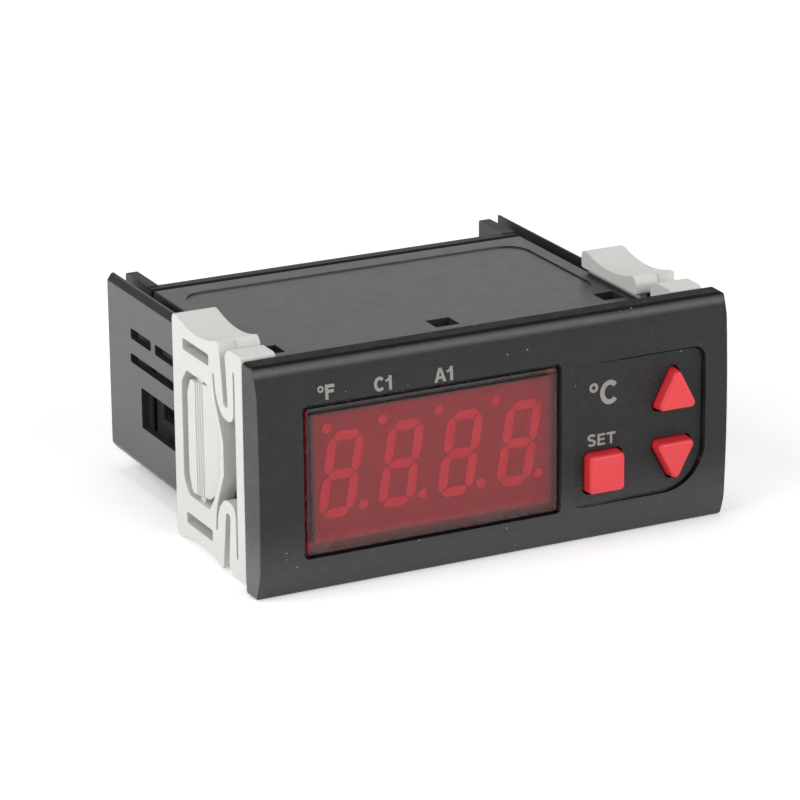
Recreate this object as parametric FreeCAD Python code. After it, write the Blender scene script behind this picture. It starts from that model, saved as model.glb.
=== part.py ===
import FreeCAD, Part
import math
import os

os.makedirs("parts", exist_ok=True)
V = FreeCAD.Vector

# Panel-mount temperature controller.
# Frame: +X to the right seen from the front, +Y rearward, +Z up.
# Origin: centre of the bezel's back face, the face that seats on the panel.
# All lengths in millimetres.

# ---------------------------------------------------------------- front bezel
BEZEL_W = 77.0            # front width
BEZEL_H = 35.0            # front height
BEZEL_FRONT_W = 76.5      # width at the front edge, after the side draft
BEZEL_DEPTH = 4.6         # at the crown of the front
BEZEL_EDGE_DEPTH = 2.75   # where the shoulder would meet the top and bottom faces
SHOULDER_Z = 12.0         # where the crown turns into the rounder shoulder
CROWN_R = 220.0           # radius of the vertical crown of the front
EDGE_R = 0.55             # rounding between the shoulder and the top and bottom faces
BEZEL_CORNER_R = 0.7
WALL_BACK = -2.4          # back surface of the front wall
REBATE_X, REBATE_Z = 34.7, 14.4   # rebate in the back that takes the case mouth
REBATE_DEPTH = 1.6

# display opening in the bezel
WIN_X0, WIN_X1 = -31.3, 10.28
WIN_Z0, WIN_Z1 = -12.08, 11.02
LENS_GAPS = (0.75, 0.42, 0.36, 0.74)   # left, right, bottom, top
LENS_FRONT = -3.98
LENS_BACK = -2.5
LENS_LEDGE = -3.0         # front of the lens flange, in a rebate behind the opening

# button field, a flat floor let into the crowned front
FIELD_X0, FIELD_X1 = 12.5, 34.5
FIELD_Z0, FIELD_Z1 = -11.9, 10.25
FIELD_FLOOR_L, FIELD_FLOOR_R = -4.10, -3.75
FIELD_GROOVE_W, FIELD_GROOVE_D = 0.32, 0.5    # narrow groove at the foot of the wall, running out to nothing
FIELD_GROOVE_X = 17.0

# buttons
BTN_FACE = -5.75
BTN_TRAVEL = 0.5
BTN_GAP = 0.2
SET_C, SET_HALF = (17.35, -6.72), 3.15
UP_TRI = [(25.4, 1.12), (33.0, 1.12), (29.2, 8.5)]
DOWN_TRI = [(25.22, -3.45), (32.82, -3.45), (29.02, -10.6)]

# ---------------------------------------------------------------- case
CASE_FRONT = -1.5
CASE_TOP = 13.85          # outside of the top and bottom walls
RAIL_Z = 14.2             # top of the side plates, which are the clip rails
PLATE_X = 34.5            # outside of the side plates
PLATE_IN = 33.3
BOX_X = 31.5              # outside of the inner box
CAV_X, CAV_Z = 29.9, 12.4 # inside of the box
RIGHT_CLIP_AHEAD = 0.4    # the right clip sits this much further forward than the left one
CASE_REAR = 47.75         # rear edge of the top and bottom walls
PLATE_REAR = 59.0         # rear edge of the side plates
GROOVE_Z = 11.6           # floor of the clip grooves
COVER_Y0, COVER_Y1 = 49.0, 50.6
COLLAR_Y = 5.5            # the clip grooves start behind this front collar
BORE_X, BORE_Y = 32.6, 9.0

# ---------------------------------------------------------------- clips
CLIP_X = 37.4             # outer face
CLIP_IN = 34.75           # inner face, 0.25 off the side plate
CLIP_Z = 17.2
CLIP_Y0, CLIP_Y1 = 2.6, 27.2
HOOK_X = 30.8             # how far the hooks reach inward
HOOK_Z = 14.45            # underside of the hooks
LIP_X0, LIP_X1 = 31.78, 33.02
LIP_Z = 12.5

# ---------------------------------------------------------------- insides
DISPLAY_X0, DISPLAY_X1 = -29.05, 9.75
DISPLAY_Z0, DISPLAY_Z1 = -10.8, 8.95
DISPLAY_FACE = -2.2
FRONT_BOARD = 5.3
BOARD_T = 1.6
MAIN_Z0 = -10.6
MAIN_Z1 = MAIN_Z0 + BOARD_T
TERM_PITCH = 5.08
TERM_N = 11


# ================================================================ helpers
def box(x0, x1, y0, y1, z0, z1):
    return Part.makeBox(x1 - x0, y1 - y0, z1 - z0, V(x0, y0, z0))


def rounded_wire(pts, radii, to3d):
    """Closed wire through 2-D points, each corner rounded by its own radius."""
    n = len(pts)
    if not isinstance(radii, (list, tuple)):
        radii = [radii] * n
    corners = []
    for i in range(n):
        p, a, b = pts[i], pts[i - 1], pts[(i + 1) % n]
        r = radii[i]
        ua = (a[0] - p[0], a[1] - p[1])
        ub = (b[0] - p[0], b[1] - p[1])
        la, lb = math.hypot(*ua), math.hypot(*ub)
        ua, ub = (ua[0] / la, ua[1] / la), (ub[0] / lb, ub[1] / lb)
        cosang = max(-1.0, min(1.0, ua[0] * ub[0] + ua[1] * ub[1]))
        ang = math.acos(cosang)
        if r <= 0 or abs(ang - math.pi) < 1e-6:
            corners.append((p, p, None))
            continue
        t = min(r / math.tan(ang / 2), 0.499 * la, 0.499 * lb)
        r = t * math.tan(ang / 2)
        p0 = (p[0] + ua[0] * t, p[1] + ua[1] * t)
        p1 = (p[0] + ub[0] * t, p[1] + ub[1] * t)
        bis = (ua[0] + ub[0], ua[1] + ub[1])
        lbis = math.hypot(*bis)
        d = r / math.sin(ang / 2) - r
        mid = (p[0] + bis[0] / lbis * d, p[1] + bis[1] / lbis * d)
        corners.append((p0, p1, mid))
    edges = []
    for i in range(n):
        p0, p1, mid = corners[i]
        if mid is not None:
            edges.append(Part.Arc(V(*to3d(p0)), V(*to3d(mid)), V(*to3d(p1))).toShape())
        q = corners[(i + 1) % n][0]
        if math.hypot(q[0] - p1[0], q[1] - p1[1]) > 1e-6:
            edges.append(Part.LineSegment(V(*to3d(p1)), V(*to3d(q))).toShape())
    return Part.Wire(edges)


def prism_y(pts, radii, y0, y1):
    """Outline in X-Z, pushed along Y."""
    w = rounded_wire(pts, radii, lambda p: (p[0], y0, p[1]))
    return Part.Face(w).extrude(V(0, y1 - y0, 0))


def prism_x(pts, radii, x0, x1):
    """Outline in Y-Z, pushed along X."""
    w = rounded_wire(pts, radii, lambda p: (x0, p[0], p[1]))
    return Part.Face(w).extrude(V(x1 - x0, 0, 0))


def prism_z(pts, radii, z0, z1):
    """Outline in X-Y, pushed along Z."""
    w = rounded_wire(pts, radii, lambda p: (p[0], p[1], z0))
    return Part.Face(w).extrude(V(0, 0, z1 - z0))


def rect(a0, a1, b0, b1):
    return [(a0, b0), (a1, b0), (a1, b1), (a0, b1)]


def cyl(r, h, base, axis):
    return Part.makeCylinder(r, h, V(*base), V(*axis))


def fuse(first, *rest):
    out = first
    for s in rest:
        out = out.fuse(s)
    return out.removeSplitter()


def cut(first, *rest):
    for s in rest:
        first = first.cut(s)
    return first


def mirror_x(shape):
    return shape.mirror(V(0, 0, 0), V(1, 0, 0))


def mirror_z(shape):
    return shape.mirror(V(0, 0, 0), V(0, 0, 1))


def fillet_where(shape, r, test):
    picked = [e for e in shape.Edges if test(e)]
    return shape.makeFillet(r, picked) if picked else shape


def on_plane(e, axis, value, tol=1e-4):
    b = e.BoundBox
    lo, hi = {"x": (b.XMin, b.XMax), "y": (b.YMin, b.YMax), "z": (b.ZMin, b.ZMax)}[axis]
    return abs(lo - value) < tol and abs(hi - value) < tol


def loft_y(w0, w1):
    return Part.makeLoft([w0, w1], True, True)


nodes = {}


def put(name, shape):
    solids = shape.Solids
    assert solids, name
    for s in solids:
        assert s.isValid(), name
        assert s.Volume > 1e-3, name
    shape = solids[0] if len(solids) == 1 else Part.makeCompound(solids)
    nodes[name] = shape
    shape.exportStep("parts/%s.step" % name)
    print("%-20s solids %2d  volume %9.1f mm3" % (name, len(solids), sum(s.Volume for s in solids)))


# ================================================================ front bezel
hw, hh = BEZEL_W / 2, BEZEL_H / 2


def bezel_section():
    """Side profile of the front: flat top and bottom faces, small rounding, long shoulder, crown."""
    cy = CROWN_R - BEZEL_DEPTH
    zs = SHOULDER_Z
    ys = cy - math.sqrt(CROWN_R ** 2 - zs ** 2)
    # shoulder circle: tangent to the crown at zs and passing through the edge point
    ny, nz = (cy - ys) / CROWN_R, -zs / CROWN_R
    dy, dz = -BEZEL_EDGE_DEPTH - ys, hh - zs
    r = (dz * dz + dy * dy) / (2 * (ny * dy + nz * dz))
    sy, sz = ys + r * ny, zs + r * nz
    # small rounding, tangent to the flat face and inside the shoulder circle
    fz = hh - EDGE_R
    fy = sy - math.sqrt((r - EDGE_R) ** 2 - (fz - sz) ** 2)
    k = r / (r - EDGE_R)
    ty, tz = sy + (fy - sy) * k, sz + (fz - sz) * k

    def on_circle(c0, c1, rad, p, q):
        my, mz = (p[0] + q[0]) / 2 - c0, (p[1] + q[1]) / 2 - c1
        m = math.hypot(my, mz)
        return (c0 + my / m * rad, c1 + mz / m * rad)

    p = lambda y, z: V(-hw - 1, y, z)
    m1 = on_circle(fy, fz, EDGE_R, (fy, hh), (ty, tz))
    m2 = on_circle(sy, sz, r, (ty, tz), (ys, zs))
    edges = [
        Part.LineSegment(p(0, -hh), p(fy, -hh)).toShape(),
        Part.Arc(p(fy, -hh), p(m1[0], -m1[1]), p(ty, -tz)).toShape(),
        Part.Arc(p(ty, -tz), p(m2[0], -m2[1]), p(ys, -zs)).toShape(),
        Part.LineSegment(p(ys, -zs), p(-6.0, -9.0)).toShape(),
        Part.LineSegment(p(-6.0, -9.0), p(-6.0, 9.0)).toShape(),
        Part.LineSegment(p(-6.0, 9.0), p(ys, zs)).toShape(),
        Part.Arc(p(ys, zs), p(*m2), p(ty, tz)).toShape(),
        Part.Arc(p(ty, tz), p(*m1), p(fy, hh)).toShape(),
        Part.LineSegment(p(fy, hh), p(0, hh)).toShape(),
        Part.LineSegment(p(0, hh), p(0, -hh)).toShape(),
    ]
    return Part.Face(Part.Wire(edges)).extrude(V(BEZEL_W + 2, 0, 0))


def bezel_crown():
    """Plan section with rounded side edges, swung about a long radius: the crowned front."""
    f = BEZEL_FRONT_W / 2
    pts = [(-hw - 0.2, 3.0), (-f, -BEZEL_DEPTH), (f, -BEZEL_DEPTH), (hw + 0.2, 3.0)]
    w = rounded_wire(pts, [0, 0.22, 0.22, 0], lambda q: (q[0], q[1], 0.0))
    face = Part.Face(w)
    centre = V(0, CROWN_R - BEZEL_DEPTH, 0)
    face.rotate(centre, V(1, 0, 0), -6.0)
    return face.revolve(centre, V(1, 0, 0), 12.0)


def bezel_outline():
    w0 = rounded_wire(rect(-hw, hw, -hh, hh), BEZEL_CORNER_R, lambda p: (p[0], 0.0, p[1]))
    f = BEZEL_FRONT_W / 2 + 0.04
    w1 = rounded_wire(rect(-f, f, -hh, hh), BEZEL_CORNER_R, lambda p: (p[0], -5.2, p[1]))
    return loft_y(w0, w1)


bezel = bezel_section().common(bezel_outline()).common(bezel_crown())

# rebate for the case mouth and the hollow behind the front wall
bezel = bezel.cut(prism_y(rect(-REBATE_X, REBATE_X, -REBATE_Z, REBATE_Z), 0.8, -REBATE_DEPTH, 1.0))
bezel = bezel.cut(prism_y(rect(-32.6, 32.6, -12.6, 12.6), 1.5, WALL_BACK, 1.0))

# display opening
win_pts = rect(WIN_X0, WIN_X1, WIN_Z0, WIN_Z1)
bezel = bezel.cut(prism_y(win_pts, 0.9, -9.0, 0.5))
lens_seat = rect(WIN_X0 - 1.05, WIN_X1 + 1.05, WIN_Z0 - 0.8, WIN_Z1 + 1.05)
bezel = bezel.cut(prism_y(lens_seat, 0.8, LENS_LEDGE - 0.05, 0.5))

# button field with its tilted floor
field_pts = rect(FIELD_X0, FIELD_X1, FIELD_Z0, FIELD_Z1)
field_r = [1.1, 7.0, 2.0, 1.0]
field = prism_y(field_pts, field_r, -9.0, 0.0)
floor_at = lambda x: FIELD_FLOOR_L + (FIELD_FLOOR_R - FIELD_FLOOR_L) * (x - FIELD_X0) / (FIELD_X1 - FIELD_X0)


def in_front_of_floor(x0, d0, x1, d1):
    """Everything between x0 and x1 in front of a plane that lies d0 to d1 behind the field's floor."""
    return prism_z([(x0, -10), (x1, -10), (x1, floor_at(x1) + d1), (x0, floor_at(x0) + d0)], 0, -20, 20)


bezel = bezel.cut(field.common(in_front_of_floor(FIELD_X0 - 2, 0.0, FIELD_X1 + 2, 0.0)))
w = FIELD_GROOVE_W
island = prism_y(rect(FIELD_X0 + w, FIELD_X1 - w, FIELD_Z0 + w, FIELD_Z1 - w), [max(0.2, r - w) for r in field_r], -9.5, 0.5)
bezel = bezel.cut(field.common(in_front_of_floor(FIELD_GROOVE_X, 0.02, FIELD_X1 + 1, FIELD_GROOVE_D)).cut(island))


def grow(pts, d):
    """Triangle or polygon moved outward by d on every side (anticlockwise points)."""
    n = len(pts)
    area = sum(pts[i][0] * pts[(i + 1) % n][1] - pts[(i + 1) % n][0] * pts[i][1] for i in range(n))
    sgn = 1 if area > 0 else -1
    lines = []
    for i in range(n):
        (x0, y0), (x1, y1) = pts[i], pts[(i + 1) % n]
        dx, dy = x1 - x0, y1 - y0
        m = math.hypot(dx, dy)
        nx, ny = sgn * dy / m, -sgn * dx / m
        lines.append(((x0 + nx * d, y0 + ny * d), (dx, dy)))
    out = []
    for i in range(n):
        (p, u), (q, w) = lines[i - 1], lines[i]
        den = u[0] * w[1] - u[1] * w[0]
        t = ((q[0] - p[0]) * w[1] - (q[1] - p[1]) * w[0]) / den
        out.append((p[0] + u[0] * t, p[1] + u[1] * t))
    return out


set_sq = rect(SET_C[0] - SET_HALF, SET_C[0] + SET_HALF, SET_C[1] - SET_HALF, SET_C[1] + SET_HALF)
BTN = {"set": (set_sq, 0.8), "up": (UP_TRI, 0.8), "down": (DOWN_TRI, 0.8)}
for pts, r in BTN.values():
    bezel = bezel.cut(prism_y(grow(pts, BTN_GAP), r + BTN_GAP, -9.0, 0.5))

# latch tongues that reach back into the case and snap into its windows
SNAPS = [(-1.75, 1.75), (26.55, 29.55), (-29.55, -26.55)]
for x0, x1 in SNAPS:
    tongue = box(x0, x1, WALL_BACK - 0.02, 14.9, 10.95, 12.15)
    if x1 < 20:
        # these two stand beside the lens seat and start from the rim around it
        tongue = fuse(tongue, box(x0, x1, WALL_BACK - 0.02, CASE_FRONT - 0.12, 12.0, 13.2))
    barb = prism_x([(11.9, 12.0), (14.9, 12.0), (13.4, 13.3), (11.9, 13.3)], 0, x0, x1)
    one = fuse(tongue, barb)
    bezel = bezel.fuse(one).fuse(mirror_z(one))
bezel = bezel.removeSplitter()
put("front_bezel", bezel)

# ================================================================ display lens
g = LENS_GAPS
lens = prism_y(rect(WIN_X0 + g[0], WIN_X1 - g[1], WIN_Z0 + g[2], WIN_Z1 - g[3]), 0.6, LENS_FRONT, LENS_BACK)
lens = fillet_where(lens, 0.32, lambda e: on_plane(e, "y", LENS_FRONT))
flange = prism_y(rect(WIN_X0 - 0.9, WIN_X1 + 0.9, WIN_Z0 - 0.65, WIN_Z1 + 0.9), 0.8, LENS_LEDGE, LENS_BACK)
put("display_window", fuse(lens, flange))

# ================================================================ buttons
STEM_R = 1.25
SWITCH_FACE = 2.1         # front of the switch housings
PLUNGER_FRONT = 0.6


def button(pts, r):
    base = rounded_wire(pts, r, lambda p: (p[0], -2.3, p[1]))
    face = rounded_wire(grow(pts, -0.24), r * 0.9, lambda p: (p[0], BTN_FACE, p[1]))
    cap = loft_y(base, face)
    cap = fillet_where(cap, 0.55, lambda e: on_plane(e, "y", BTN_FACE))
    flange = prism_y(grow(pts, 0.55), r + 0.4, -2.3, -1.5).common(box(0, 32.3, -3, 0, -20, 20))
    cx = sum(p[0] for p in pts) / len(pts)
    cz = sum(p[1] for p in pts) / len(pts)
    stem = cyl(STEM_R, PLUNGER_FRONT + 1.5, (cx, -1.5, cz), (0, 1, 0))
    return fuse(cap, flange, stem), (cx, cz)


centres = {}
for name, (pts, r) in BTN.items():
    shape, centres[name] = button(pts, r)
    put(name + "_button", shape)

# switch plungers ride with the buttons and slide in the switch housings
PLUNGER_R = 1.6
for name, (cx, cz) in centres.items():
    put(name + "_plunger", cyl(PLUNGER_R, SWITCH_FACE + 1.3 - PLUNGER_FRONT, (cx, PLUNGER_FRONT, cz), (0, 1, 0)))

switches = []
for cx, cz in centres.values():
    body = prism_y(rect(cx - 3.0, cx + 3.0, cz - 3.0, cz + 3.0), 0.4, SWITCH_FACE, FRONT_BOARD)
    body = body.cut(cyl(PLUNGER_R + 0.25, 2.4, (cx, SWITCH_FACE - 0.1, cz), (0, 1, 0)))
    switches.append(body)
put("tact_switches", Part.makeCompound(switches))

# ================================================================ LED display
disp = prism_y(rect(DISPLAY_X0, DISPLAY_X1, DISPLAY_Z0, DISPLAY_Z1), 0.25, DISPLAY_FACE, FRONT_BOARD)
put("led_display", disp)

DIGIT_H, DIGIT_W, SEG_T = 12.95, 5.85, 1.45
SLANT = math.tan(math.radians(9.3))
DIGIT_Z = -0.72
DIGIT_X = [-24.38, -14.83, -5.26, 4.33]
DOT_X = [-26.6, -17.7, -8.7, 0.5]
DOT_Z = 6.42
POINT_X = [-20.9, -11.4, -1.95, 7.6]
POINT_Z = -5.95
SEG_Y0 = DISPLAY_FACE - 0.15
SEG_GAP = 0.16


def seg_poly(a, b, t, gap):
    """Six-sided bar from a to b, bevelled at both ends."""
    dx, dz = b[0] - a[0], b[1] - a[1]
    m = math.hypot(dx, dz)
    u = (dx / m, dz / m)
    n = (-u[1], u[0])
    a = (a[0] + u[0] * gap, a[1] + u[1] * gap)
    b = (b[0] - u[0] * gap, b[1] - u[1] * gap)
    h = t / 2
    return [
        a,
        (a[0] + u[0] * h - n[0] * h, a[1] + u[1] * h - n[1] * h),
        (b[0] - u[0] * h - n[0] * h, b[1] - u[1] * h - n[1] * h),
        b,
        (b[0] - u[0] * h + n[0] * h, b[1] - u[1] * h + n[1] * h),
        (a[0] + u[0] * h + n[0] * h, a[1] + u[1] * h + n[1] * h),
    ]


def digit(cx, cz):
    w = (DIGIT_W - SEG_T) / 2
    h = (DIGIT_H - SEG_T) / 2
    P = {"tl": (-w, h), "tr": (w, h), "ml": (-w, 0), "mr": (w, 0), "bl": (-w, -h), "br": (w, -h)}
    out = []
    for a, b in (("tl", "tr"), ("ml", "mr"), ("bl", "br"), ("tl", "ml"), ("ml", "bl"), ("tr", "mr"), ("mr", "br")):
        poly = [(cx + x + SLANT * z, cz + z) for x, z in seg_poly(P[a], P[b], SEG_T, SEG_GAP)]
        out.append(prism_y(poly, 0.12, SEG_Y0, DISPLAY_FACE))
    return out


segs = []
for cx, dx, px in zip(DIGIT_X, DOT_X, POINT_X):
    segs += digit(cx, DIGIT_Z)
    # decimal point, and the indicator dot above the digit's left shoulder
    segs.append(cyl(0.72, DISPLAY_FACE - SEG_Y0, (px, SEG_Y0, POINT_Z), (0, 1, 0)))
    segs.append(cyl(0.72, DISPLAY_FACE - SEG_Y0, (dx, SEG_Y0, DOT_Z), (0, 1, 0)))
put("digit_segments", Part.makeCompound(segs))

# ================================================================ boards
front_board = prism_y(rect(-32.2, 32.2, -10.6, 10.6), 0.6, FRONT_BOARD, FRONT_BOARD + BOARD_T)
put("display_board", front_board)

MAIN_Y0, MAIN_Y1 = 8.2, 57.0
main_board = box(-28.4, 28.4, MAIN_Y0, MAIN_Y1, MAIN_Z0, MAIN_Z1)
put("main_board", main_board)

# angle header between the two boards
hdr = [box(-14.0, 8.9, 8.6, 11.1, MAIN_Z1, MAIN_Z1 + 2.5)]
for i in range(9):
    x = -12.7 + 2.54 * i
    hdr.append(box(x - 0.32, x + 0.32, FRONT_BOARD + BOARD_T, 8.6, MAIN_Z1 + 0.95, MAIN_Z1 + 1.59))
put("board_header", Part.makeCompound(hdr))

# supply transformer: laminated core with a wound bobbin
tx0, tx1, ty0, ty1 = -27.0, -4.0, 14.0, 34.0
core = box(tx0, tx1, ty0, ty1, MAIN_Z1 + 2.0, MAIN_Z1 + 18.0)
core = cut(core, box(tx0 + 3.6, tx0 + 7.9, ty0 - 1, ty1 + 1, MAIN_Z1 + 5.2, MAIN_Z1 + 14.8),
           box(tx1 - 7.9, tx1 - 3.6, ty0 - 1, ty1 + 1, MAIN_Z1 + 5.2, MAIN_Z1 + 14.8))
# lamination lines
for i in range(1, 10):
    y = ty0 + i * 2.0
    core = core.cut(box(tx0 - 1, tx0 + 0.25, y - 0.1, y + 0.1, MAIN_Z1, MAIN_Z1 + 20))
    core = core.cut(box(tx1 - 0.25, tx1 + 1, y - 0.1, y + 0.1, MAIN_Z1, MAIN_Z1 + 20))
put("transformer_core", core)
coil = box(tx0 + 3.8, tx1 - 3.8, ty0 - 2.2, ty1 + 2.2, MAIN_Z1 + 5.4, MAIN_Z1 + 14.6)
coil = coil.cut(box(tx0 + 7.7, tx1 - 7.7, ty0 - 0.2, ty1 + 0.2, MAIN_Z1 + 4, MAIN_Z1 + 16))
coil = cut(coil, box(tx0 + 7.7, tx1 - 7.7, ty0 - 0.2, ty1 + 0.2, MAIN_Z1 + 5, MAIN_Z1 + 15))
feet = [box(x - 1.0, x + 1.0, y - 1.0, y + 1.0, MAIN_Z1, MAIN_Z1 + 5.5)
        for x in (tx0 + 5.0, tx1 - 5.0) for y in (ty0 - 1.1, ty1 + 1.1)]
put("transformer_coil", fuse(coil, *feet))

# output relay
relay = prism_z(rect(3.0, 22.2, 29.5, 45.0), 0.6, MAIN_Z1, MAIN_Z1 + 15.4)
relay = fillet_where(relay, 0.5, lambda e: on_plane(e, "z", MAIN_Z1 + 15.4))
put("output_relay", relay)

# electrolytic capacitors
caps = []
for x, y, r, h in ((5.5, 20.0, 4.0, 12.0), (14.6, 20.0, 4.0, 12.0), (22.9, 19.4, 3.15, 11.0)):
    c = cyl(r, h, (x, y, MAIN_Z1), (0, 0, 1))
    c = fillet_where(c, 0.6, lambda e: on_plane(e, "z", MAIN_Z1 + h))
    ring = Part.makeTorus(r, 0.35, V(x, y, MAIN_Z1 + 1.6), V(0, 0, 1))
    c = c.cut(ring)
    caps.append(c)
put("capacitors", Part.makeCompound(caps))

# alarm sounder
buzz = cyl(5.2, 7.2, (-20.0, 41.9, MAIN_Z1), (0, 0, 1))
buzz = fillet_where(buzz, 0.5, lambda e: on_plane(e, "z", MAIN_Z1 + 7.2))
buzz = buzz.cut(cyl(0.9, 2.0, (-20.0, 41.9, MAIN_Z1 + 5.6), (0, 0, 1)))
put("sounder", buzz)

# control chip with its leads
chip = [box(-11.5, -2.5, 40.5, 46.5, MAIN_Z1 + 0.15, MAIN_Z1 + 1.75)]
chip_body = chip[0]
leads = []
for i in range(7):
    x = -10.8 + 1.27 * i
    for y0, y1 in ((39.4, 40.6), (46.4, 47.6)):
        leads.append(box(x - 0.2, x + 0.2, y0, y1, MAIN_Z1, MAIN_Z1 + 0.6))
put("control_chip", fuse(chip_body, *leads))

# surge absorber disc
disc = fuse(cyl(3.6, 3.2, (25.4, 33.0, MAIN_Z1 + 5.2), (-1, 0, 0)),
            box(23.5, 24.1, 30.9, 31.5, MAIN_Z1, MAIN_Z1 + 3.6), box(23.5, 24.1, 34.5, 35.1, MAIN_Z1, MAIN_Z1 + 3.6))
disc.translate(V(1.2, 0, 0))
put("surge_absorber", disc)

# ================================================================ case body
outer = prism_y(rect(-BOX_X, BOX_X, -CASE_TOP, CASE_TOP), 0.35, CASE_FRONT, CASE_REAR)
# side plates, their outer rail edges chamfered
plate_pts = [(PLATE_IN, -RAIL_Z), (PLATE_X - 0.75, -RAIL_Z), (PLATE_X, -RAIL_Z + 1.05),
             (PLATE_X, RAIL_Z - 1.05), (PLATE_X - 0.75, RAIL_Z), (PLATE_IN, RAIL_Z)]
plate = prism_y(plate_pts, [0.12, 0.5, 0.6, 0.6, 0.5, 0.12], CASE_FRONT, PLATE_REAR)
web = fuse(
    box(BOX_X - 0.4, PLATE_IN + 0.3, CASE_FRONT, CASE_REAR, 10.2, GROOVE_Z),
    box(BOX_X - 0.4, PLATE_IN + 0.3, CASE_FRONT, CASE_REAR, -GROOVE_Z, -10.2),
    box(BOX_X - 0.4, PLATE_IN + 0.3, COLLAR_Y, BORE_Y + 1.5, -10.3, 10.3),
)
# front collar: the grooves are closed here, and the mouth is bored out wide for the display board
collar = box(-PLATE_IN - 0.3, PLATE_IN + 0.3, CASE_FRONT, COLLAR_Y, -CASE_TOP, CASE_TOP)
case = fuse(outer, plate, mirror_x(plate), web, mirror_x(web), collar)
case = case.cut(prism_y(rect(-CAV_X, CAV_X, -CAV_Z, CAV_Z), 0.8, CASE_FRONT - 1, CASE_REAR + 1))
case = case.cut(prism_y(rect(-BORE_X, BORE_X, -CAV_Z, CAV_Z), 0.8, CASE_FRONT - 1, COLLAR_Y))
case = case.cut(box(-BORE_X, BORE_X, CASE_FRONT, BORE_Y, -10.85, 10.85))

# shallow sunk field on the top, with large corner radii
case = case.cut(prism_z(rect(-29.0, 29.0, 17.3, 44.5), 4.0, CASE_TOP - 0.2, CASE_TOP + 0.5)).removeSplitter()

# latch windows behind the bezel, top and bottom
for x0, x1 in ((-1.95, 1.95), (26.35, 29.75), (-29.75, -26.35)):
    case = case.cut(box(x0, x1, 11.65, 15.35, 11.5, 14.6))
    case = case.cut(box(x0, x1, 11.65, 15.35, -14.6, -11.5))


def through_side(y0, y1, z0, z1, r, depth):
    s = prism_x(rect(y0, y1, z0, z1), r, PLATE_X + 0.5, PLATE_X - depth)
    return [s, mirror_x(s)]


# vents and the stepped window in the side plates
for s in (through_side(42.4, 50.2, 6.25, 7.9, 0.45, 2.2) + through_side(30.6, 40.9, 6.25, 7.9, 0.45, 2.2)
          + through_side(22.0, 50.5, 2.4, 3.85, 0.45, 2.2) + through_side(24.0, 46.7, -7.1, -0.65, 0.25, 1.6)):
    case = case.cut(s)
for s in (through_side(25.0, 45.2, -5.7, -0.9, 0.2, 6.5) + through_side(31.6, 39.9, 6.35, 7.6, 0.3, 6.5)
          + through_side(25.0, 47.4, 2.5, 3.7, 0.3, 6.5) + through_side(42.7, 47.2, 6.35, 7.6, 0.3, 6.5)):
    case = case.cut(s)
put("case_body", case)

# ================================================================ rear cover
rear = prism_y(rect(-BOX_X, BOX_X, -CASE_TOP, CASE_TOP), 0.35, COVER_Y0, COVER_Y1)
rim = prism_y(rect(-CAV_X + 0.15, CAV_X - 0.15, -CAV_Z + 0.15, CAV_Z - 0.15), 0.7, COVER_Y0 - 3.0, COVER_Y0 + 0.5)
rim = rim.cut(box(-28.45, 28.45, COVER_Y0 - 4, COVER_Y0 + 1, -11.0, 11.0))
cheek = prism_x([(COVER_Y1 - 0.5, -CASE_TOP), (58.8, -CASE_TOP), (58.8, 14.0), (COVER_Y1 - 0.5, 14.0)], [0, 0.5, 0.6, 0], 29.75, BOX_X)
shelf = box(-30.0, 30.0, COVER_Y1 - 0.5, 58.2, -CASE_TOP, -12.3)
rear = fuse(rear, rim, cheek, mirror_x(cheek), shelf)
rear = rear.cut(box(-28.75, 28.75, COVER_Y0 - 5, COVER_Y1 + 1, MAIN_Z0 - 0.35, 5.4))
put("rear_cover", rear)

# ================================================================ screw terminals
TX = TERM_PITCH * TERM_N / 2 + 0.5
TERM_TOP = 5.0
term_y0, term_y1 = 47.6, 57.9
house = prism_x([(term_y0, MAIN_Z1), (term_y1, MAIN_Z1), (term_y1, 1.6), (term_y1 - 1.6, TERM_TOP), (term_y0, TERM_TOP)],
                [0, 0.3, 0.4, 0.4, 0.3], -TX, TX)
screws, clamps = [], []
for i in range(TERM_N):
    x = (i - (TERM_N - 1) / 2) * TERM_PITCH
    house = house.cut(cyl(2.0, 4.4, (x, 53.0, TERM_TOP - 4.3), (0, 0, 1)))
    house = house.cut(box(x - 1.75, x + 1.75, 50.2, 55.8, -7.4, 0.9))
    entry = prism_y(rect(x - 1.75, x + 1.75, -7.0, -2.9), 0.3, 55.0, 58.6)
    house = house.cut(entry)
    if i:
        house = house.cut(box(x - TERM_PITCH / 2 - 0.3, x - TERM_PITCH / 2 + 0.3, term_y1 - 0.7, term_y1 + 1, -8.5, TERM_TOP + 1))
    # screw: slotted cheese head on a shank into the clamp
    head = cyl(1.8, 1.7, (x, 53.0, 1.6), (0, 0, 1))
    head = fillet_where(head, 0.25, lambda e: on_plane(e, "z", 3.3))
    head = head.cut(box(x - 2.2, x + 2.2, 52.7, 53.3, 2.5, 4.0))
    shank = cyl(1.2, 3.2, (x, 53.0, -1.5), (0, 0, 1))
    screws.append(fuse(head, shank))
    # clamp cage: open to the rear for the wire
    cage = box(x - 1.6, x + 1.6, 50.6, 55.4, -7.2, 0.7)
    cage = cage.cut(box(x - 1.15, x + 1.15, 50.0, 56.0, -6.6, -1.9))
    cage = cage.cut(cyl(1.35, 4.0, (x, 53.0, -2.2), (0, 0, 1)))
    clamps.append(cage)
put("terminal_block", house)
put("terminal_screws", Part.makeCompound(screws))
put("terminal_clamps", Part.makeCompound(clamps))

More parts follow.
